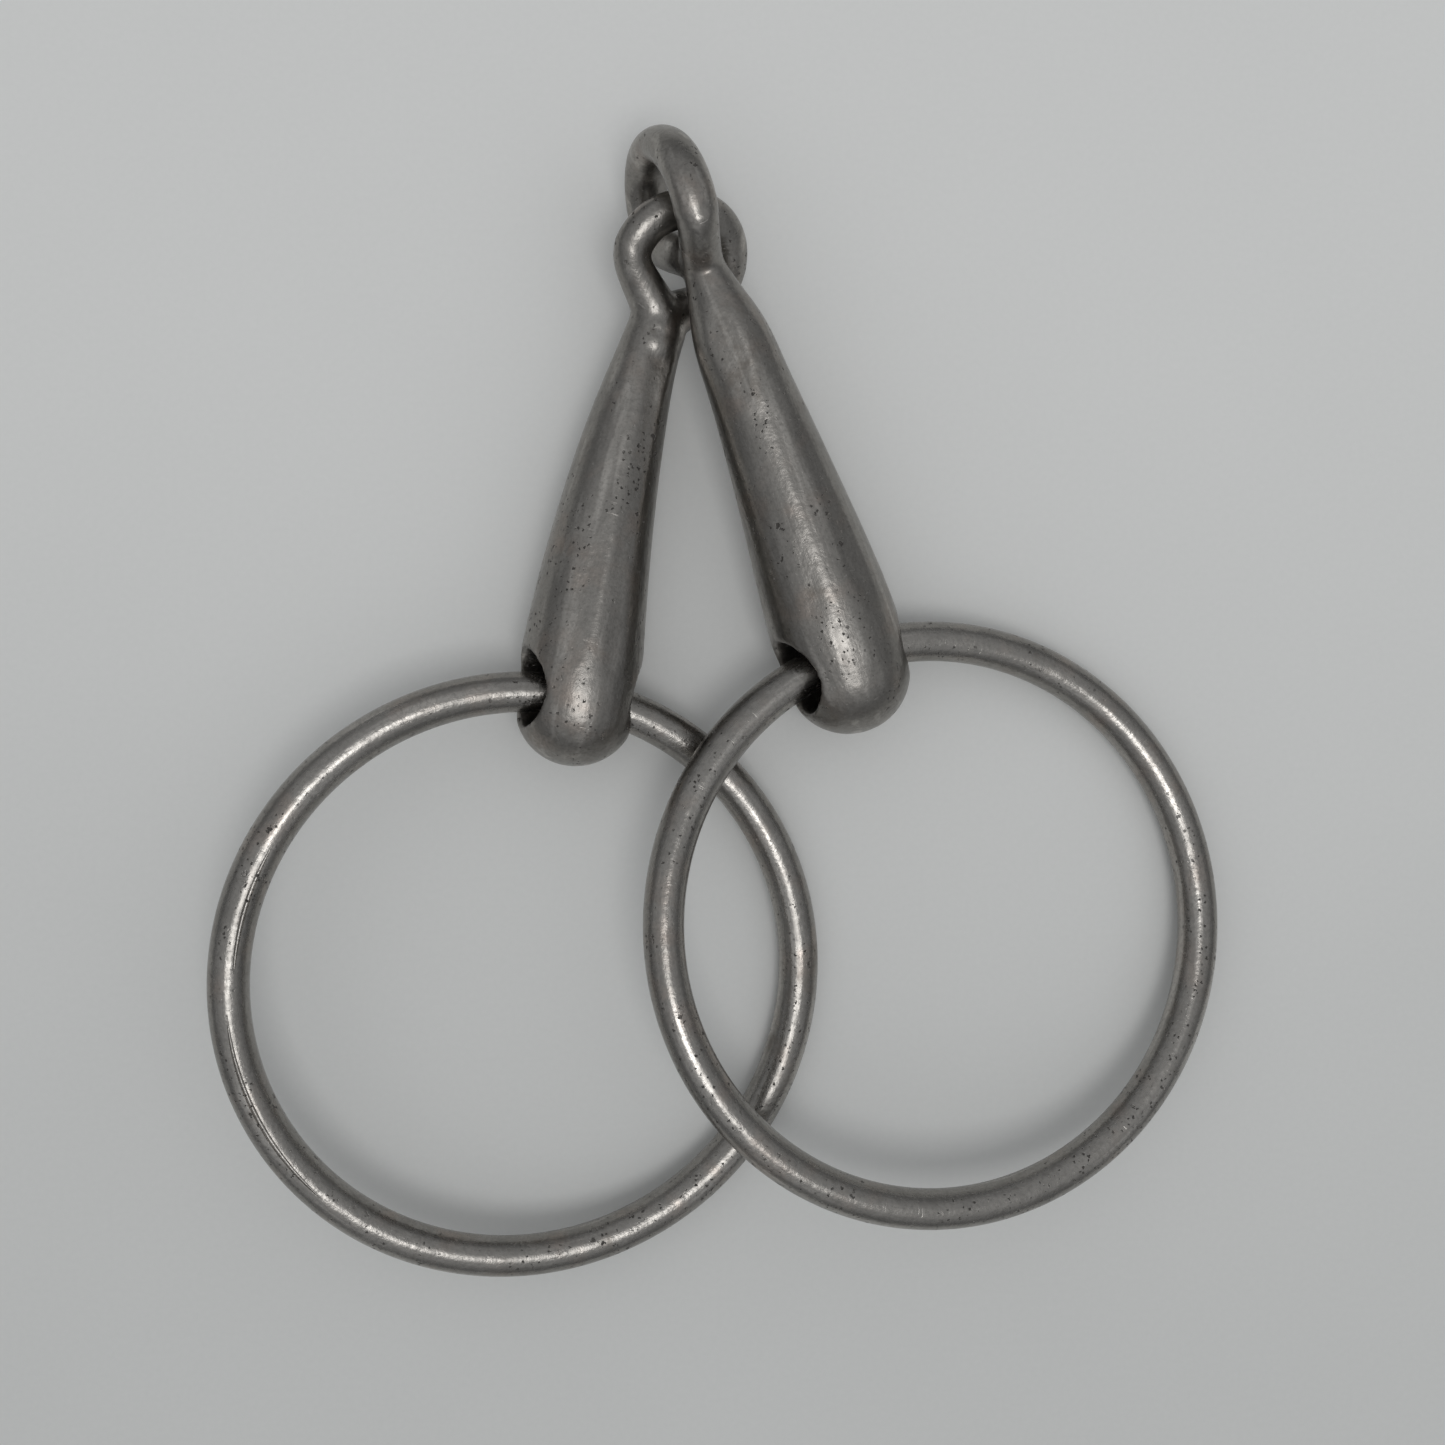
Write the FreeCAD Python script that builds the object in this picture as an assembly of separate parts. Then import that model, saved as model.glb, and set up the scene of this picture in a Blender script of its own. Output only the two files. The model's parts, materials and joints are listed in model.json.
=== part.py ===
import FreeCAD, Part

# A single-jointed loose-ring snaffle bit for a horse, folded in two and laid on a table.
# Millimetres. +Z is up from the table, +Y runs from the rings to the centre joint, and the
# origin is on the table under the middle of the bit's footprint.
# Two solid cannons are linked eye through eye, and a round ring runs loose in each butt.

import math
import os

from FreeCAD import Placement, Rotation, Vector

# Rings: plain round wire, closed to a circle.
RING_RADIUS = 37.4
RING_WIRE = 2.65
RINGS = {
    "left_ring": {"centre": (-27.5, -34.6, 8.9), "normal": (0.164, -0.030, 0.986)},
    "right_ring": {"centre": (27.5, -27.8, 10.1), "normal": (0.167, 0.097, 0.981)},
}

# Bores for the rings: a straight hole whose mouths open out in an arc. Halfway along a mouth,
# this share of its widening has happened.
BORE_RADIUS = 4.9
BORE_HALF_STRAIGHT = 5.0
BORE_HALF_LENGTH = 9.5
BORE_MOUTH_RADIUS = 5.6
MOUTH_HALFWAY_SHARE = 0.25

# Cannons. "butt" is the axis's start at the butt, "heading" is the axis's direction there,
# turned from +X towards +Y, "climb" lifts it from the table and "roll" drops its right side.
# "side_bow" turns the axis to its right over the whole length, and "rise" lifts its far end.
# "barrel" is (distance along the axis, half width, half height) from the butt ball to the neck.
# The eye's wire is oval: "eye_wide" across the wire in the eye's plane, "eye_thick" through it.
# "eye_turn" turns the eye about the axis, "eye_tip" tips it out of line with the neck, and
# "eye_offset" shifts it across the neck. The ring's bore crosses the axis at "bore_at", raised
# by "bore_lift", and "bore_roll" drops its right mouth.
CANNONS = {
    "left_cannon": {
        "butt": (-21.4, -6.8, 7.87),
        "heading": 84.5,
        "climb": 2.6,
        "roll": 32.0,
        "length": 76.4,
        "side_bow": 15.5,
        "rise": 25.8,
        "barrel": ((7.9, 8.1, 8.1), (10.8, 8.25, 8.25), (22.6, 7.35, 7.35), (41.9, 5.5, 5.5),
                   (54.5, 4.1, 4.1), (58.0, 3.9, 3.9)),
        "eye_radius": 6.95,
        "eye_wide": 2.6,
        "eye_thick": 2.2,
        "eye_turn": 0.0,
        "eye_tip": 11.1,
        "eye_offset": -0.6,
        "bore_at": 9.45,
        "bore_lift": 0.6,
        "bore_roll": 17.0,
    },
    "right_cannon": {
        "butt": (17.8, -2.6, 7.57),
        "heading": 107.1,
        "climb": 5.3,
        "roll": 6.5,
        "length": 82.4,
        "side_bow": -8.3,
        "rise": 7.4,
        "barrel": ((8.4, 8.3, 8.3), (12.3, 8.6, 8.6), (19.3, 8.3, 8.3), (35.3, 6.7, 6.7),
                   (47.0, 5.6, 5.6), (54.9, 4.95, 4.95), (60.9, 4.2, 3.4), (63.0, 3.8, 2.9)),
        "eye_radius": 8.4,
        "eye_wide": 2.4,
        "eye_thick": 2.9,
        "eye_turn": -81.6,
        "eye_tip": -9.8,
        "eye_offset": -2.9,
        "bore_at": 10.0,
        "bore_lift": 0.3,
        "bore_roll": 16.0,
    },
}

# An eye's arc reaches this far each side of its tip, and each limb's sections lie at these
# shares of the way from the arc's end to the neck, where it is a little slimmer than the neck.
EYE_HALF_ARC = 100.0
EYE_LIMB_STATIONS = (0.3, 0.55, 0.8, 1.0)
LIMB_END_SHARE = 0.98


def start_frame(cannon):
    """Directions at the butt: along the axis, to its right, and up out of its back."""
    heading = math.radians(cannon["heading"])
    climb = math.radians(cannon["climb"])
    along = Vector(
        math.cos(heading) * math.cos(climb),
        math.sin(heading) * math.cos(climb),
        math.sin(climb),
    )
    level_right = Vector(math.sin(heading), -math.cos(heading), 0)
    right = Rotation(along, cannon["roll"]).multVec(level_right)
    return along, right, right.cross(along)


def axis_point(cannon, distance):
    """Point on the cannon's curved axis."""
    along, right, back = start_frame(cannon)
    length = cannon["length"]
    bow = math.radians(cannon["side_bow"]) / length
    rise = math.radians(cannon["rise"]) * length / 5 * (distance / length) ** 5
    point = Vector(*cannon["butt"])
    point += along * (math.sin(bow * distance) / bow)
    point += right * ((1 - math.cos(bow * distance)) / bow)
    return point + back * rise


def axis_frame(cannon, distance):
    """Directions at a point of the axis: along it, and to its right."""
    along, right, back = start_frame(cannon)
    length = cannon["length"]
    turn = math.radians(cannon["side_bow"]) * distance / length
    slope = math.radians(cannon["rise"]) * (distance / length) ** 4
    forward = along * math.cos(turn) + right * math.sin(turn) + back * slope
    forward.normalize()
    side = right * math.cos(turn) - along * math.sin(turn)
    side -= forward * side.dot(forward)
    side.normalize()
    return forward, side


def oval(centre, across, through, facing, half_across, half_through):
    """Closed oval wire, half_across along the first direction and half_through along the second."""
    if half_across >= half_through:
        edge = Part.Ellipse(Vector(0, 0, 0), half_across, half_through).toShape()
        turn = Rotation(across, through, facing, "ZXY")
    else:
        edge = Part.Ellipse(Vector(0, 0, 0), half_through, half_across).toShape()
        turn = Rotation(through, across * -1, facing, "ZXY")
    edge.Placement = Placement(centre, turn)
    return Part.Wire([edge])


def ball(centre, radius):
    return Part.makeSphere(radius, centre)


def barrel(cannon):
    """Tapered barrel along the axis, with a round butt and a ball inside the neck's end."""
    sections = []
    for distance, wide, high in cannon["barrel"]:
        forward, side = axis_frame(cannon, distance)
        point = axis_point(cannon, distance)
        sections.append(oval(point, side, forward.cross(side), forward, wide, high))
    body = Part.makeLoft(sections, True)
    butt_distance, butt_wide, butt_high = cannon["barrel"][0]
    neck_distance, neck_wide, neck_high = cannon["barrel"][-1]
    butt = ball(axis_point(cannon, butt_distance), butt_high)
    neck = ball(axis_point(cannon, neck_distance), neck_high)
    return body.fuse([butt, neck])


def eye_frame(cannon):
    """Centre of the eye's arc, the direction to its tip, across its plane, and out of its plane."""
    reach = cannon["length"] - cannon["eye_radius"] - cannon["eye_wide"]
    forward, side = axis_frame(cannon, reach)
    across = Rotation(forward, cannon["eye_turn"]).multVec(side)
    out = across.cross(forward)
    centre = axis_point(cannon, reach) + across * cannon["eye_offset"]
    tip = math.radians(cannon["eye_tip"])
    toward = forward * math.cos(tip) + out * math.sin(tip)
    return centre, toward, across, across.cross(toward)


def eye(cannon):
    """Closed eye: an arc of oval wire, and a limb from each of its ends to the neck."""
    centre, toward, across, out = eye_frame(cannon)
    wide = cannon["eye_wide"]
    thick = cannon["eye_thick"]
    neck_distance, neck_wide, neck_high = cannon["barrel"][-1]
    neck = axis_point(cannon, neck_distance)
    end = neck_high * LIMB_END_SHARE

    def arc_section(degrees):
        angle = math.radians(degrees)
        outward = toward * math.cos(angle) + across * math.sin(angle)
        run = across * math.cos(angle) - toward * math.sin(angle)
        point = centre + outward * cannon["eye_radius"]
        return point, oval(point, outward, out, run, wide, thick)

    def limb(sign):
        start, section = arc_section(sign * EYE_HALF_ARC)
        run = (neck - start) * sign
        run.normalize()
        sections = [section]
        for share in EYE_LIMB_STATIONS:
            point = start * (1 - share) + neck * share
            half_wide = wide + (end - wide) * share
            half_thick = thick + (end - thick) * share
            sections.append(oval(point, out.cross(run), out, run, half_wide, half_thick))
        return Part.makeLoft(sections, True)

    start, section = arc_section(-EYE_HALF_ARC)
    arc = Part.Face(section).revolve(centre, out * -1, 2 * EYE_HALF_ARC)
    return arc, limb(-1), limb(1)


def bore(cannon):
    """Cutter for the ring's hole: straight in the middle, opening out towards both mouths."""
    forward, side = axis_frame(cannon, cannon["bore_at"])
    centre = axis_point(cannon, cannon["bore_at"]) + Vector(0, 0, cannon["bore_lift"])
    level = forward.cross(Vector(0, 0, 1))
    direction = Rotation(forward, cannon["bore_roll"]).multVec(level)
    direction.normalize()
    corners = (
        Vector(0, 0, -BORE_HALF_LENGTH),
        Vector(BORE_MOUTH_RADIUS, 0, -BORE_HALF_LENGTH),
        Vector(BORE_RADIUS, 0, -BORE_HALF_STRAIGHT),
        Vector(BORE_RADIUS, 0, BORE_HALF_STRAIGHT),
        Vector(BORE_MOUTH_RADIUS, 0, BORE_HALF_LENGTH),
        Vector(0, 0, BORE_HALF_LENGTH),
    )
    part_open = BORE_RADIUS + (BORE_MOUTH_RADIUS - BORE_RADIUS) * MOUTH_HALFWAY_SHARE
    halfway = (BORE_HALF_LENGTH + BORE_HALF_STRAIGHT) / 2
    low_arc = Part.Arc(corners[1], Vector(part_open, 0, -halfway), corners[2])
    high_arc = Part.Arc(corners[3], Vector(part_open, 0, halfway), corners[4])
    outline = Part.Wire([
        Part.LineSegment(corners[0], corners[1]).toShape(),
        low_arc.toShape(),
        Part.LineSegment(corners[2], corners[3]).toShape(),
        high_arc.toShape(),
        Part.LineSegment(corners[4], corners[5]).toShape(),
        Part.LineSegment(corners[5], corners[0]).toShape(),
    ])
    cutter = Part.Face(outline).revolve(Vector(0, 0, 0), Vector(0, 0, 1), 360)
    cutter.Placement = Placement(centre, Rotation(Vector(0, 0, 1), direction))
    return cutter, centre, direction


def make_cannon(cannon):
    cutter, centre, direction = bore(cannon)
    solid = barrel(cannon).fuse(list(eye(cannon))).cut(cutter)
    return solid.Solids[0]


def make_ring(ring):
    return Part.makeTorus(RING_RADIUS, RING_WIRE, Vector(*ring["centre"]), Vector(*ring["normal"]))


def main():
    os.makedirs("parts", exist_ok=True)
    nodes = {}
    for side in ("left", "right"):
        nodes[side + "_cannon"] = make_cannon(CANNONS[side + "_cannon"])
        nodes[side + "_ring"] = make_ring(RINGS[side + "_ring"])
    for name, shape in nodes.items():
        shape.exportStep(os.path.join("parts", name + ".step"))
        print(name, "valid", shape.isValid(), "volume", round(shape.Volume, 1))
    return nodes


if __name__ == "__main__":
    main()
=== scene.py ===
# A single-jointed loose-ring snaffle bit in old bare steel, folded in two on a pale table.
# Sizes below are in millimetres, and MM turns them into the scene's metres.

import json
import math

import bpy
from mathutils import Matrix, Vector


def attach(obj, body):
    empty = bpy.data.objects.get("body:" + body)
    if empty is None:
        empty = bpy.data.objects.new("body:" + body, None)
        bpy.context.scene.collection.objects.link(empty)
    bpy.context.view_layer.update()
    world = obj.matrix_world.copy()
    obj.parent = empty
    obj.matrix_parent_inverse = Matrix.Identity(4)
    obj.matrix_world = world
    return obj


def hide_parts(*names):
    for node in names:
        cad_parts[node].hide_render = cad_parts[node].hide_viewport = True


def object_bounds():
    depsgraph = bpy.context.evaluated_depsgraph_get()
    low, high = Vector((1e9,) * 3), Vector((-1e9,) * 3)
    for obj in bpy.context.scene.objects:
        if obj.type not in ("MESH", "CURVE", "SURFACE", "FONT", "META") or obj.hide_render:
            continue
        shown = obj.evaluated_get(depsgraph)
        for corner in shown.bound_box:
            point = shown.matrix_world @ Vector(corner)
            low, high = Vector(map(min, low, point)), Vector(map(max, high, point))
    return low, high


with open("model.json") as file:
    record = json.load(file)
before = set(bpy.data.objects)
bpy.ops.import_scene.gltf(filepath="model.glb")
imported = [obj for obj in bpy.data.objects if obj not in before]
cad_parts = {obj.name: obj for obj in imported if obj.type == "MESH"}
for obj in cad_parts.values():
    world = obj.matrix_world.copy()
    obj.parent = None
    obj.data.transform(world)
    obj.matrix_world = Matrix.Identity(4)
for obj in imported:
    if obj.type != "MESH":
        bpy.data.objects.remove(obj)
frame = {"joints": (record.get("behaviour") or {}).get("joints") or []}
cad_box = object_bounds()

MM = 0.001

# Cannons, as the forging's axis and its swelling: the axis starts at "butt", runs along
# "heading" and "climb", leans by "roll", turns to its right by "side_bow" and lifts by "rise".
# "barrel" is (distance along the axis, radius), and "neck_wide" is the half width of the
# swelling at the neck.
CANNONS = {
    "left_cannon": {
        "butt": (-21.4, -6.8, 7.87),
        "heading": 84.5,
        "climb": 2.6,
        "roll": 32.0,
        "length": 76.4,
        "side_bow": 15.5,
        "rise": 25.8,
        "barrel": ((7.9, 8.1), (10.8, 8.25), (22.6, 7.35), (41.9, 5.5), (54.5, 4.1), (58.0, 3.9)),
        "neck_wide": 3.9,
        "eye_radius": 6.95,
        "eye_wide": 2.6,
        "eye_thick": 2.2,
        "eye_turn": 0.0,
        "eye_tip": 11.1,
        "eye_offset": -0.6,
    },
    "right_cannon": {
        "butt": (17.8, -2.6, 7.57),
        "heading": 107.1,
        "climb": 5.3,
        "roll": 6.5,
        "length": 82.4,
        "side_bow": -8.3,
        "rise": 7.4,
        "barrel": ((8.4, 8.3), (12.3, 8.6), (19.3, 8.3), (35.3, 6.7), (47.0, 5.6), (54.9, 4.95),
                   (60.9, 3.4), (63.0, 2.9)),
        "neck_wide": 2.9,
        "eye_radius": 8.4,
        "eye_wide": 2.4,
        "eye_thick": 2.9,
        "eye_turn": -81.6,
        "eye_tip": -9.8,
        "eye_offset": -2.9,
    },
}

# Flats hammered along each barrel: the side they face, in degrees from its back towards its
# right, how deep they cut, and the stretch of the barrel that they lie on.
FLATS = {
    "left_cannon": ((-40.0, 0.14, 14.0, 40.0), (-4.0, 0.18, 14.0, 40.0)),
    "right_cannon": ((26.0, 0.10, 16.0, 42.0), (-22.0, 0.14, 16.0, 44.0)),
}

# Bores for the rings.
BORE_RADIUS = 4.9
BORE_STRAIGHT = 5.0
BORE_REACH = 9.5
BORE_MOUTH = 5.6

# Rings: round wire closed to a circle.
RING_RADIUS = 37.4
RING_WIRE = 2.65
RINGS = {
    "left_ring": {"centre": (-27.5, -34.6, 8.9), "normal": (0.164, -0.030, 0.986)},
    "right_ring": {"centre": (27.5, -27.8, 10.1), "normal": (0.167, 0.097, 0.981)},
}

# Creases rolled into a ring's wire: the angles that they start and end at, round from +X, and
# how far outward of the wire's middle they lie, then the radius of their groove.
CREASES = {"left_ring": ((184.0, 226.0, 0.2), (150.0, 176.0, -0.7))}
CREASE_RADIUS = 0.32

# Eyes: how far round the arc reaches each side of its tip, a limb's share of the neck's radius
# where it meets it, how much the limb bows out, how late it swells, how far back from the arc's
# end the turn into a limb is filled and how long that filling is, and how far the neck's
# swelling reaches.
ARC_HALF = 100.0
LIMB_END_SHARE = 0.97
LIMB_BULGE = 0.8
LIMB_SWELL = 2.0
KNUCKLE_BACK = 4.0
KNUCKLE_LONG = 1.25
NECK_REACH = 4.0

# The forging's skin: the size of its facets, and how many times it is softened.
VOXEL = 0.26
SOFTENING = 22


def deselect_all():
    bpy.ops.object.select_all(action="DESELECT")


def activate(piece):
    """Selects one piece alone and makes it the active one."""
    deselect_all()
    piece.select_set(True)
    bpy.context.view_layer.objects.active = piece
    return piece


def apply_modifier(piece, kind, **settings):
    activate(piece)
    modifier = piece.modifiers.new(kind.title(), kind)
    for name, value in settings.items():
        setattr(modifier, name, value)
    bpy.ops.object.modifier_apply(modifier=modifier.name)


def settle(piece):
    """Puts a piece's place, turn and scale into its mesh."""
    activate(piece)
    bpy.ops.object.transform_apply(location=True, rotation=True, scale=True)
    return piece


def join(name, pieces):
    activate(pieces[0])
    for piece in pieces:
        piece.select_set(True)
    bpy.ops.object.join()
    pieces[0].name = name
    return pieces[0]


def turned(across, through, facing):
    """Euler angles whose X, Y and Z lie along three directions."""
    return Matrix((across, through, facing)).transposed().to_euler()


# ---------------------------------------------------------------- cannons: the axis

def start_frame(cannon):
    """Directions at the butt: along the axis, to its right, and up out of its back."""
    heading = math.radians(cannon["heading"])
    climb = math.radians(cannon["climb"])
    along = Vector((
        math.cos(heading) * math.cos(climb),
        math.sin(heading) * math.cos(climb),
        math.sin(climb),
    ))
    level_right = Vector((math.sin(heading), -math.cos(heading), 0))
    right = Matrix.Rotation(math.radians(cannon["roll"]), 3, along) @ level_right
    return along, right, right.cross(along)


def axis_point(cannon, distance):
    along, right, back = start_frame(cannon)
    length = cannon["length"]
    bow = math.radians(cannon["side_bow"]) / length
    rise = math.radians(cannon["rise"]) * length / 5 * (distance / length) ** 5
    point = Vector(cannon["butt"])
    point += along * (math.sin(bow * distance) / bow)
    point += right * ((1 - math.cos(bow * distance)) / bow)
    return point + back * rise


def axis_frame(cannon, distance):
    """Directions at a point of the axis: along it, to its right, and out of its back."""
    along, right, back = start_frame(cannon)
    length = cannon["length"]
    turn = math.radians(cannon["side_bow"]) * distance / length
    slope = math.radians(cannon["rise"]) * (distance / length) ** 4
    forward = (along * math.cos(turn) + right * math.sin(turn) + back * slope).normalized()
    side = right * math.cos(turn) - along * math.sin(turn)
    side = (side - forward * side.dot(forward)).normalized()
    return forward, side, side.cross(forward)


def radius_at(cannon, distance):
    """The barrel's radius, on a smooth curve through its stations."""
    stations = cannon["barrel"]
    slopes = []
    for i in range(len(stations)):
        before = stations[max(i - 1, 0)]
        after = stations[min(i + 1, len(stations) - 1)]
        slopes.append((after[1] - before[1]) / (after[0] - before[0]))
    for i in range(len(stations) - 1):
        start, end = stations[i], stations[i + 1]
        if distance <= end[0]:
            break
    span = end[0] - start[0]
    t = min(max((distance - start[0]) / span, 0), 1)
    return (
        (1 + 2 * t) * (1 - t) ** 2 * start[1]
        + t * (1 - t) ** 2 * span * slopes[i]
        + t * t * (3 - 2 * t) * end[1]
        + t * t * (t - 1) * span * slopes[i + 1]
    )


# ---------------------------------------------------------------- cannons: the forging

def tube(name, points):
    """Closed round tube over (place, radius) points, from a curve with a round bevel."""
    curve = bpy.data.curves.new(name, "CURVE")
    curve.dimensions = "3D"
    curve.bevel_depth = 1.0
    curve.bevel_resolution = 14
    curve.use_fill_caps = True
    line = curve.splines.new("POLY")
    line.points.add(len(points) - 1)
    for spot, (place, radius) in zip(line.points, points):
        spot.co = (*(place * MM), 1)
        spot.radius = radius * MM
    piece = bpy.data.objects.new(name, curve)
    bpy.context.scene.collection.objects.link(piece)
    activate(piece)
    bpy.ops.object.convert(target="MESH")
    piece = bpy.context.view_layer.objects.active
    bpy.ops.object.mode_set(mode="EDIT")
    bpy.ops.mesh.select_all(action="SELECT")
    bpy.ops.mesh.remove_doubles(threshold=0.002 * MM)
    bpy.ops.mesh.normals_make_consistent(inside=False)
    bpy.ops.object.mode_set(mode="OBJECT")
    return piece


def barrel(name, cannon):
    """Round butt, swelling barrel and round neck end."""
    first, butt_radius = cannon["barrel"][0]
    last, neck_radius = cannon["barrel"][-1]
    cap = [math.radians(angle) for angle in range(3, 90, 6)]
    profile = [(first - butt_radius * math.cos(a), butt_radius * math.sin(a)) for a in cap]
    steps = int(last - first)
    for i in range(steps + 1):
        distance = first + (last - first) * i / steps
        profile.append((distance, radius_at(cannon, distance)))
    for a in reversed(cap):
        profile.append((last + neck_radius * math.cos(a), neck_radius * math.sin(a)))
    return tube(name, [(axis_point(cannon, distance), radius) for distance, radius in profile])


def hammer_flat(piece, cannon, facing, depth, start, end):
    """Slices a shallow flat along the barrel."""
    places = []
    for distance in (start, end):
        forward, side, back = axis_frame(cannon, distance)
        out = back * math.cos(math.radians(facing)) + side * math.sin(math.radians(facing))
        places.append(axis_point(cannon, distance) + out * (radius_at(cannon, distance) - depth))
    run = (places[1] - places[0]).normalized()
    out = (out - run * out.dot(run)).normalized()
    activate(piece)
    bpy.ops.object.mode_set(mode="EDIT")
    bpy.ops.mesh.select_all(action="SELECT")
    bpy.ops.mesh.bisect(plane_co=places[0] * MM, plane_no=out, use_fill=True, clear_outer=True)
    bpy.ops.object.mode_set(mode="OBJECT")


def eye_frame(cannon):
    """Centre of the eye's arc, the direction to its tip, across its plane, and out of its plane."""
    reach = cannon["length"] - cannon["eye_radius"] - cannon["eye_wide"]
    forward, side, back = axis_frame(cannon, reach)
    across = Matrix.Rotation(math.radians(cannon["eye_turn"]), 3, forward) @ side
    out = across.cross(forward)
    centre = axis_point(cannon, reach) + across * cannon["eye_offset"]
    tip = math.radians(cannon["eye_tip"])
    toward = forward * math.cos(tip) + out * math.sin(tip)
    return centre, toward, across, across.cross(toward)


def eye_arc(cannon):
    """The eye's round end: a ring of oval wire with its neck side cut away."""
    centre, toward, across, out = eye_frame(cannon)
    deselect_all()
    bpy.ops.mesh.primitive_torus_add(
        major_segments=96,
        minor_segments=40,
        major_radius=cannon["eye_radius"] * MM,
        minor_radius=cannon["eye_wide"] * MM,
        location=centre * MM,
        rotation=turned(across, toward, across.cross(toward)),
    )
    piece = bpy.context.active_object
    piece.scale = (1, 1, cannon["eye_thick"] / cannon["eye_wide"])
    settle(piece)
    below = centre + toward * (cannon["eye_radius"] * math.cos(math.radians(ARC_HALF)))
    bpy.ops.object.mode_set(mode="EDIT")
    bpy.ops.mesh.select_all(action="SELECT")
    bpy.ops.mesh.bisect(plane_co=below * MM, plane_no=-toward, use_fill=True, clear_outer=True)
    bpy.ops.object.mode_set(mode="OBJECT")
    return piece


def eye_limb(cannon, sign):
    """Tapered limb that leaves one end of the eye's arc and runs smoothly into the neck."""
    centre, toward, across, out = eye_frame(cannon)
    angle = math.radians(sign * ARC_HALF)
    start = centre + (toward * math.cos(angle) + across * math.sin(angle)) * cannon["eye_radius"]
    leave = (across * math.cos(angle) - toward * math.sin(angle)) * sign
    neck_distance, neck_radius = cannon["barrel"][-1]
    end = axis_point(cannon, neck_distance)
    arrive = -axis_frame(cannon, neck_distance)[0]
    reach = (end - start).length
    slim = (cannon["eye_wide"] + cannon["eye_thick"]) / 2
    full = radius_at(cannon, neck_distance) * LIMB_END_SHARE
    steps = 24
    points = []
    for i in range(steps + 1):
        t = i / steps
        place = start * ((1 + 2 * t) * (1 - t) ** 2) + end * (t * t * (3 - 2 * t))
        place += (leave * (t * (1 - t) ** 2) - arrive * (t * t * (1 - t))) * (reach * LIMB_BULGE)
        points.append((place, slim + (full - slim) * t ** LIMB_SWELL))
    return tube("limb", points)


def egg(place, axes, half_sizes):
    """Smooth egg at a place, with its half sizes along three square directions."""
    deselect_all()
    bpy.ops.mesh.primitive_uv_sphere_add(
        segments=48,
        ring_count=32,
        radius=MM,
        location=place * MM,
        rotation=turned(*axes),
    )
    piece = bpy.context.active_object
    piece.scale = half_sizes
    return settle(piece)


def eye_knuckle(cannon, sign):
    """Fills the turn between the eye's arc and its limb."""
    centre, toward, across, out = eye_frame(cannon)
    angle = math.radians(sign * (ARC_HALF - KNUCKLE_BACK))
    outward = toward * math.cos(angle) + across * math.sin(angle)
    place = centre + outward * cannon["eye_radius"]
    run = across * math.cos(angle) - toward * math.sin(angle)
    wide = cannon["eye_wide"]
    half_sizes = (wide, wide * KNUCKLE_LONG, cannon["eye_thick"])
    return egg(place, (outward, run, outward.cross(run)), half_sizes)


def neck_saddle(cannon):
    """Oval swelling that carries the neck smoothly into the limbs."""
    distance, radius = cannon["barrel"][-1]
    start = distance - NECK_REACH / 2
    forward, side, back = axis_frame(cannon, start)
    half_sizes = (cannon["neck_wide"], NECK_REACH, radius_at(cannon, start))
    return egg(axis_point(cannon, start), (side, forward, side.cross(forward)), half_sizes)


def bore_cutter(name):
    """Cutter for the ring's hole: straight in the middle, its mouths opening out in an arc."""
    joint = next(j for j in frame["joints"] if j["name"] == name + "_swing")
    centre = Vector(joint["pos_m"]) / MM
    direction = Vector(joint["axis"]).normalized()
    points = []
    steps = 24
    for i in range(-steps, steps + 1):
        along = BORE_REACH * i / steps
        flare = max(abs(along) - BORE_STRAIGHT, 0) / (BORE_REACH - BORE_STRAIGHT)
        radius = BORE_RADIUS + (BORE_MOUTH - BORE_RADIUS) * flare ** 2
        points.append((centre + direction * along, radius))
    return tube("bore_cutter", points)


def make_cannon(name):
    cannon = CANNONS[name]
    body = barrel(name + "_forging", cannon)
    for flat in FLATS[name]:
        hammer_flat(body, cannon, *flat)
    cutter = bore_cutter(name.replace("cannon", "ring"))
    apply_modifier(body, "BOOLEAN", operation="DIFFERENCE", object=cutter, solver="EXACT")
    bpy.data.objects.remove(cutter)
    pieces = [body, eye_arc(cannon), neck_saddle(cannon)]
    for sign in (-1, 1):
        pieces += [eye_limb(cannon, sign), eye_knuckle(cannon, sign)]
    piece = join(name + "_forging", pieces)
    apply_modifier(piece, "REMESH", mode="VOXEL", voxel_size=VOXEL * MM)
    apply_modifier(piece, "SMOOTH", factor=0.5, iterations=SOFTENING)
    activate(piece)
    bpy.ops.object.shade_smooth()
    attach(piece, name)
    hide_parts(name)
    return piece


# ---------------------------------------------------------------- rings

def ring_frame(name):
    """Centre of a ring in millimetres, and its level, uphill and normal directions."""
    ring = RINGS[name]
    normal = Vector(ring["normal"]).normalized()
    level = Vector((1, 0, 0))
    level = (level - normal * level.dot(normal)).normalized()
    return Vector(ring["centre"]), level, normal.cross(level), normal


def cut_crease(piece, name, start, end, outward):
    """Cuts a tapering groove along a ring's upper side, between two angles."""
    centre, level, uphill, normal = ring_frame(name)
    lift = math.sqrt(RING_WIRE ** 2 - outward ** 2)
    steps = 40
    points = []
    for i in range(steps + 1):
        angle = math.radians(start + (end - start) * i / steps)
        radial = level * math.cos(angle) + uphill * math.sin(angle)
        taper = math.sin(math.pi * (i + 0.5) / (steps + 1)) ** 0.5
        place = centre + radial * (RING_RADIUS + outward) + normal * lift
        points.append((place, CREASE_RADIUS * taper))
    cutter = tube("crease", points)
    apply_modifier(piece, "BOOLEAN", operation="DIFFERENCE", object=cutter, solver="EXACT")
    bpy.data.objects.remove(cutter)


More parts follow.
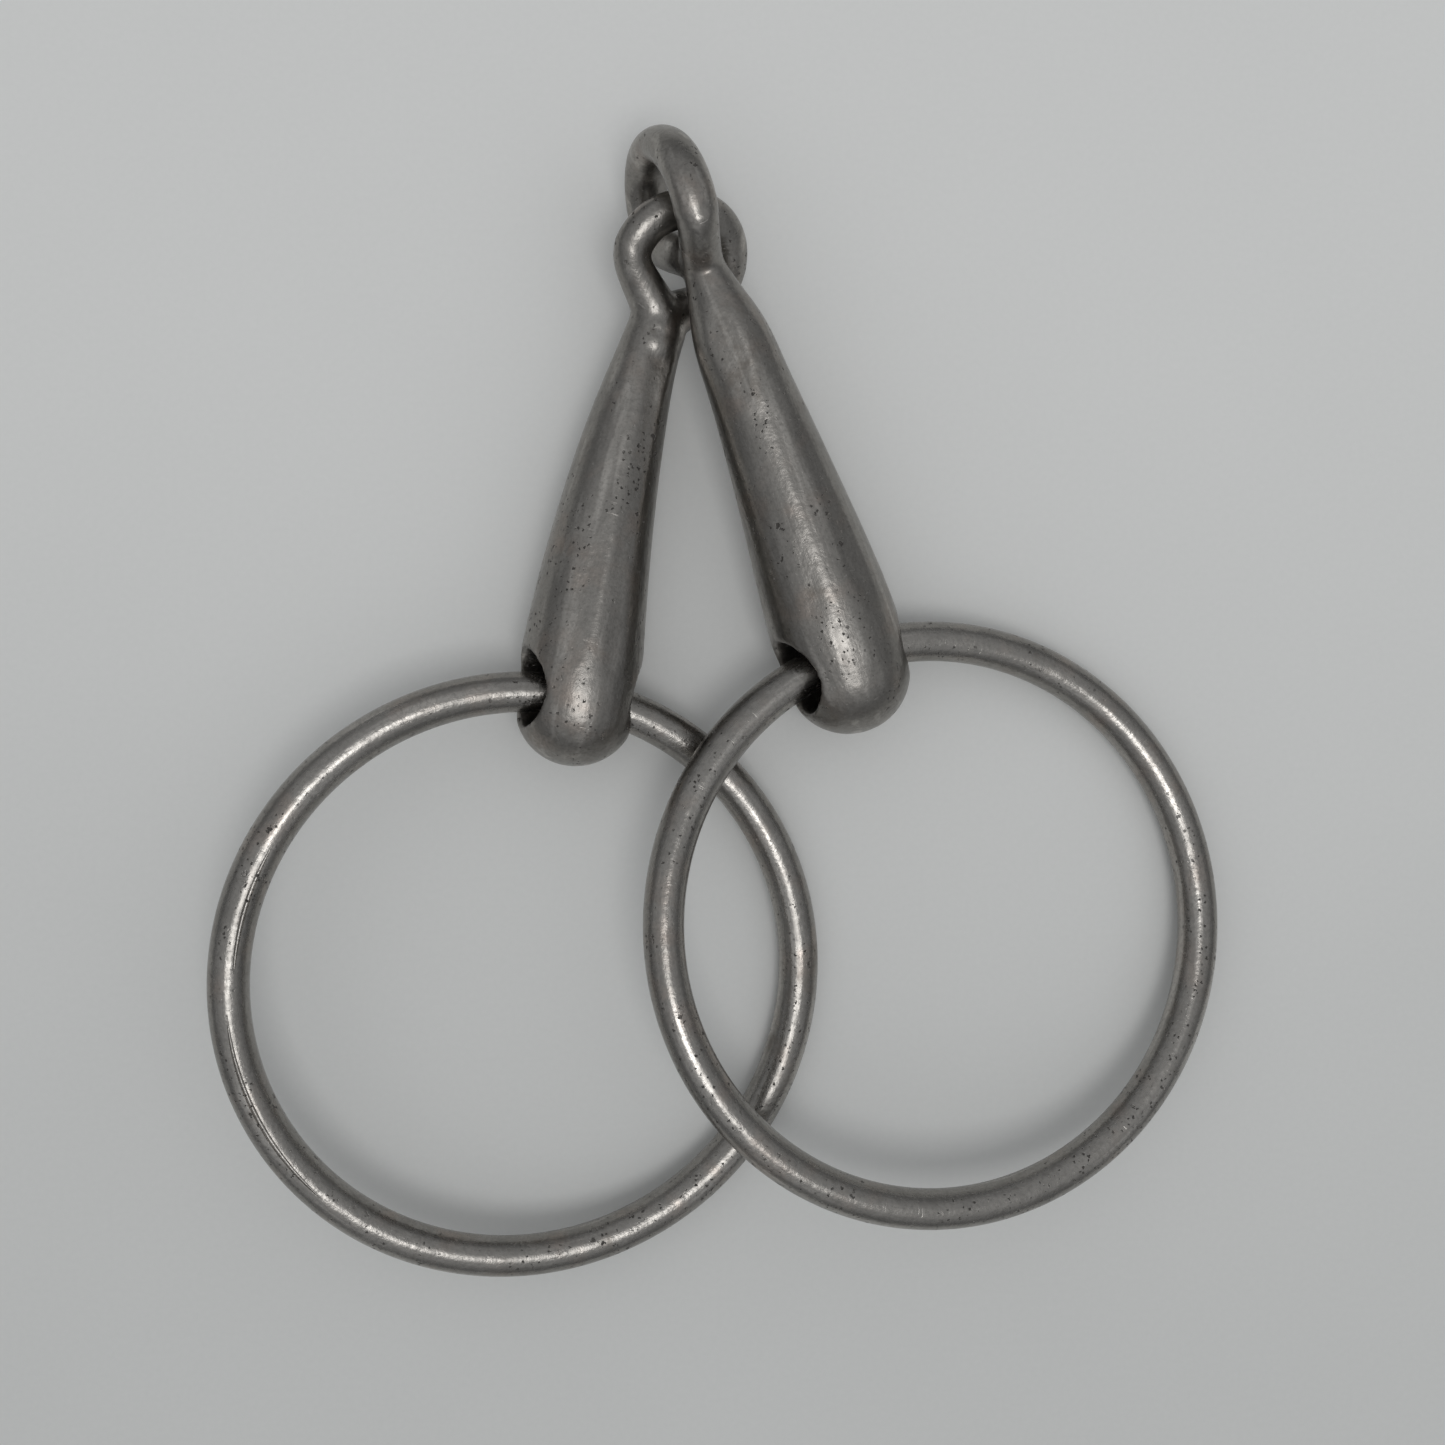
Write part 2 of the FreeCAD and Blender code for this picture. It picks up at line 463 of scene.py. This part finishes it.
def make_ring(name):
    centre, level, uphill, normal = ring_frame(name)
    deselect_all()
    bpy.ops.mesh.primitive_torus_add(
        major_segments=320,
        minor_segments=48,
        major_radius=RING_RADIUS * MM,
        minor_radius=RING_WIRE * MM,
        location=centre * MM,
        rotation=turned(level, uphill, normal),
    )
    piece = settle(bpy.context.active_object)
    piece.name = name + "_wire"
    for crease in CREASES.get(name, ()):
        cut_crease(piece, name, *crease)
    activate(piece)
    bpy.ops.object.shade_smooth_by_angle(angle=math.radians(40))
    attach(piece, name)
    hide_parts(name)
    return piece


# ---------------------------------------------------------------- materials

class Value:
    """A shader socket that takes arithmetic: an expression on values adds its Math nodes."""

    def __init__(self, tree, socket):
        self.tree = tree
        self.socket = socket

    def node(self, kind, settings=None, inputs=None, output=0):
        """Adds a node, makes its settings, then fills its sockets with numbers or values."""
        made = self.tree.nodes.new(kind)
        for name, setting in (settings or {}).items():
            if name == "stops":
                ramp = made.color_ramp
                while len(ramp.elements) < len(setting):
                    ramp.elements.new(1.0)
                for element, (place, colour) in zip(ramp.elements, setting):
                    element.position = place
                    element.color = colour
            else:
                setattr(made, name, setting)
        for name, value in (inputs or {}).items():
            if isinstance(value, Value):
                self.tree.links.new(value.socket, made.inputs[name])
            else:
                made.inputs[name].default_value = value
        return Value(self.tree, made.outputs[output])

    def maths(self, operation, *values):
        return self.node("ShaderNodeMath", {"operation": operation}, dict(enumerate(values)))

    def __add__(self, other):
        return self.maths("ADD", self, other)

    def __radd__(self, other):
        return self.maths("ADD", other, self)

    def __sub__(self, other):
        return self.maths("SUBTRACT", self, other)

    def __rsub__(self, other):
        return self.maths("SUBTRACT", other, self)

    def __mul__(self, other):
        return self.maths("MULTIPLY", self, other)

    def __rmul__(self, other):
        return self.maths("MULTIPLY", other, self)

    def __truediv__(self, other):
        return self.maths("DIVIDE", self, other)

    def __pow__(self, other):
        return self.maths("POWER", self, other)

    def band(self, low, high):
        """0 below low, 1 above high, and smooth between."""
        return self.node(
            "ShaderNodeMapRange",
            {"interpolation_type": "SMOOTHSTEP"},
            {"Value": self, "From Min": low, "From Max": high},
        )


def new_material(name):
    """An empty material, a value to build from, and its Principled shader."""
    material = bpy.data.materials.new(name)
    material.use_nodes = True
    tree = material.node_tree
    tree.nodes.clear()
    shader = tree.nodes.new("ShaderNodeBsdfPrincipled")
    end = tree.nodes.new("ShaderNodeOutputMaterial")
    tree.links.new(shader.outputs["BSDF"], end.inputs["Surface"])
    place = tree.nodes.new("ShaderNodeTexCoord")
    return material, Value(tree, place.outputs["Object"]), shader


def noise(place, size, detail=3.0, roughness=0.55, stretch=(1, 1, 1)):
    """Cloudy pattern from 0 to 1 whose blotches are about size millimetres across."""
    scaled = place.node(
        "ShaderNodeVectorMath",
        {"operation": "MULTIPLY"},
        {0: place, 1: [1 / (size * MM * factor) for factor in stretch]},
    )
    return place.node(
        "ShaderNodeTexNoise",
        None,
        {"Vector": scaled, "Scale": 1.0, "Detail": detail, "Roughness": roughness},
    )


def pits(place, spacing, size, share):
    """Sparse ragged pits of uneven size: 1 in a pit and 0 elsewhere."""
    scaled = place.node(
        "ShaderNodeVectorMath",
        {"operation": "MULTIPLY"},
        {0: place, 1: [1 / (spacing * MM)] * 3},
    )
    warp_inputs = {"Vector": scaled, "Scale": 2.6, "Detail": 3.0}
    warp = place.node("ShaderNodeTexNoise", None, warp_inputs, 1)
    bent = place.node(
        "ShaderNodeVectorMath",
        {"operation": "MULTIPLY_ADD"},
        {0: warp, 1: (0.9, 0.9, 0.9), 2: scaled},
    )
    cells = place.node("ShaderNodeTexVoronoi", None, {"Vector": bent, "Scale": 1.0})
    width = noise(place, spacing * 3, 2.0)
    spots = 1 - (cells / (width * 2)).band(size * 0.4, size)
    tint = place.node("ShaderNodeTexVoronoi", None, {"Vector": bent, "Scale": 1.0}, 1)
    chosen = place.node("ShaderNodeSeparateColor", None, {"Color": tint})
    return spots * chosen.band(1 - share, 1 - share + 0.04)


def mixed(place, factor, low, high):
    """Colour that goes from low to high with factor."""
    return place.node(
        "ShaderNodeMix",
        {"data_type": "RGBA"},
        {"Factor": factor, 6: low, 7: high},
        2,
    )


def old_steel(name, along, tone, gloss):
    """Old bare steel: polished lengthwise by wear, pitted, with brown and grey stains.
    along turns a place into one whose X runs lengthwise."""
    material, place, shader = new_material(name)
    tree = material.node_tree
    grain_place = along(place)
    fine_lines = noise(grain_place, 0.35, 3.0, 0.6, (30, 1, 1))
    broad_lines = noise(grain_place, 2.2, 3.0, 0.5, (14, 1, 1))
    cloud = noise(place, 9.0, 4.0, 0.6)
    mottle = noise(place, 1.6, 4.0, 0.6)
    stain = noise(place, 13.0, 5.0, 0.65).band(0.60, 0.74)
    small_pits = pits(place, 0.7, 0.28, 0.50)
    large_pits = pits(place, 1.6, 0.22, 0.45)
    patch = noise(grain_place, 6.0, 3.0, 0.6, (3, 1, 1)).band(0.44, 0.60)
    pitting = (small_pits * patch + large_pits * (patch * 0.8 + 0.12)).band(0.0, 1.0)
    worn = broad_lines.band(0.52, 0.70)
    speckle = noise(place, 0.45, 3.0, 0.7)
    scratches = noise(grain_place, 0.25, 2.0, 0.5, (1.5, 22, 1)).band(0.68, 0.78)

    steel = mixed(place, cloud.band(0.3, 0.7), (*[c * 0.86 for c in tone], 1), (*tone, 1))
    warm = (tone[0] * 1.04, tone[1] * 0.92, tone[2] * 0.86, 1)
    steel = mixed(place, noise(place, 6.0, 3.0).band(0.5, 0.75) * 0.6, steel, warm)
    steel = mixed(place, mottle.band(0.45, 0.75) * 0.35, steel, (*[c * 0.6 for c in tone], 1))
    steel = mixed(place, worn * 0.55, steel, (*[c * 1.75 for c in tone], 1))
    steel = mixed(place, speckle.band(0.42, 0.68) * 0.5, steel, (*[c * 0.62 for c in tone], 1))
    steel = mixed(place, scratches * 0.35, steel, (*[c * 1.8 for c in tone], 1))
    steel = mixed(place, stain * 0.55, steel, (tone[0] * 0.36, tone[1] * 0.31, tone[2] * 0.26, 1))
    steel = mixed(place, pitting * 0.85, steel, (0.025, 0.02, 0.017, 1))
    tree.links.new(steel.socket, shader.inputs["Base Color"])

    roughness = gloss + (fine_lines - 0.5) * 0.16 + (broad_lines - 0.5) * 0.2 + (mottle - 0.5) * 0.22
    roughness = roughness + stain * 0.14 + pitting * 0.3 - worn * 0.07
    tree.links.new(roughness.socket, shader.inputs["Roughness"])
    metal = 1 - pitting * 0.8 - stain * 0.15
    tree.links.new(metal.socket, shader.inputs["Metallic"])

    relief = fine_lines * 0.012 + broad_lines * 0.07 + mottle * 0.07 + speckle * 0.02
    relief = relief + cloud * 0.16 - pitting * 0.15 - scratches * 0.015
    bump = place.node(
        "ShaderNodeBump",
        None,
        {"Strength": 1.0, "Distance": 1.0 * MM, "Height": relief},
    )
    tree.links.new(bump.socket, shader.inputs["Normal"])
    return material


def cannon_steel(name):
    cannon = CANNONS[name]

    heading = math.radians(cannon["heading"] - cannon["side_bow"] / 2)

    def along(place):
        return place.node(
            "ShaderNodeMapping",
            {"vector_type": "TEXTURE"},
            {"Vector": place, "Rotation": (0, 0, heading)},
        )

    return old_steel(name + "_steel", along, (0.31, 0.295, 0.275), 0.34)


def ring_steel(name):
    centre, level, uphill, normal = ring_frame(name)

    def along(place):
        local = place.node(
            "ShaderNodeMapping",
            {"vector_type": "TEXTURE"},
            {"Vector": place, "Location": centre * MM, "Rotation": turned(level, uphill, normal)},
        )
        parts = local.node("ShaderNodeSeparateXYZ", None, {"Vector": local})
        x, y, z = (Value(place.tree, socket) for socket in parts.socket.node.outputs)
        angle = x.maths("ARCTAN2", y, x)
        spread = x.maths("SQRT", x * x + y * y)
        lengthwise = angle * (RING_RADIUS * MM)
        return place.node("ShaderNodeCombineXYZ", None, {"X": lengthwise, "Y": spread, "Z": z})

    return old_steel(name + "_steel", along, (0.33, 0.315, 0.295), 0.28)


def table_top():
    """Matt pale board, painted darker towards low Y, the bottom of the view, as painted shade."""
    material, place, shader = new_material("table_top")
    grain = noise(place, 0.8, 3.0)
    cloud = noise(place, 60.0, 2.0)
    parts = place.node("ShaderNodeSeparateXYZ", None, {"Vector": place})
    y = Value(place.tree, parts.socket.node.outputs[1])
    # Painted shade: the Y band darkens the board towards low Y, the bottom of the view. Grain and
    # cloud are the board's own uneven tone.
    paleness_and_painted_shade = grain * 0.15 + cloud * 0.15 + y.band(-110 * MM, 110 * MM) * 0.7
    colour = mixed(place, paleness_and_painted_shade, (0.70, 0.705, 0.69, 1), (0.98, 0.98, 0.96, 1))
    place.tree.links.new(colour.socket, shader.inputs["Base Color"])
    shader.inputs["Roughness"].default_value = 0.75
    return material


# ---------------------------------------------------------------- setting

def add_table():
    deselect_all()
    bpy.ops.mesh.primitive_plane_add(size=3.0, location=(0, 0, cad_box[0][2]))
    table = bpy.context.active_object
    table.name = "table"
    table.data.materials.append(table_top())


def add_camera():
    """Looks almost straight down on the bit."""
    right = Vector((0.9979, 0.0, 0.0648))
    forward = Vector((0.0648, -0.0340, -0.9973)).normalized()
    up = right.cross(forward).normalized()
    data = bpy.data.cameras.new("camera")
    data.sensor_width = 36.0
    data.lens = 44.0
    data.clip_start = 0.01
    camera = bpy.data.objects.new("camera", data)
    bpy.context.scene.collection.objects.link(camera)
    camera.location = Vector((-16.4, 6.6, 240.8)) * MM
    camera.rotation_euler = turned(right, up, -forward)
    bpy.context.scene.camera = camera


def add_light(name, place, aim, size, power):
    """Square soft light at a place, facing an aim, both in millimetres."""
    data = bpy.data.lights.new(name, "AREA")
    data.shape = "SQUARE"
    data.size = size * MM
    data.energy = power
    light = bpy.data.objects.new(name, data)
    bpy.context.scene.collection.objects.link(light)
    light.location = Vector(place) * MM
    light.rotation_euler = (Vector(aim) - Vector(place)).to_track_quat("-Z", "Y").to_euler()


def add_lights():
    world = bpy.data.worlds.new("room")
    world.use_nodes = True
    background = world.node_tree.nodes["Background"]
    coordinates = world.node_tree.nodes.new("ShaderNodeTexCoord")
    place = Value(world.node_tree, coordinates.outputs["Generated"])
    parts = place.node("ShaderNodeSeparateXYZ", None, {"Vector": place})
    height = Value(place.tree, parts.socket.node.outputs[2])
    sky = mixed(place, height.band(0.0, 0.9), (0.16, 0.165, 0.17, 1), (0.50, 0.51, 0.52, 1))
    world.node_tree.links.new(sky.socket, background.inputs["Color"])
    bpy.context.scene.world = world
    add_light("ceiling_lamp", (60, -200, 900), (0, 0, 0), 350, 1.4)


# ---------------------------------------------------------------- the whole

for name in CANNONS:
    make_cannon(name).data.materials.append(cannon_steel(name))
for name in RINGS:
    make_ring(name).data.materials.append(ring_steel(name))
add_table()
add_camera()
add_lights()
bpy.context.scene.view_settings.view_transform = "Standard"
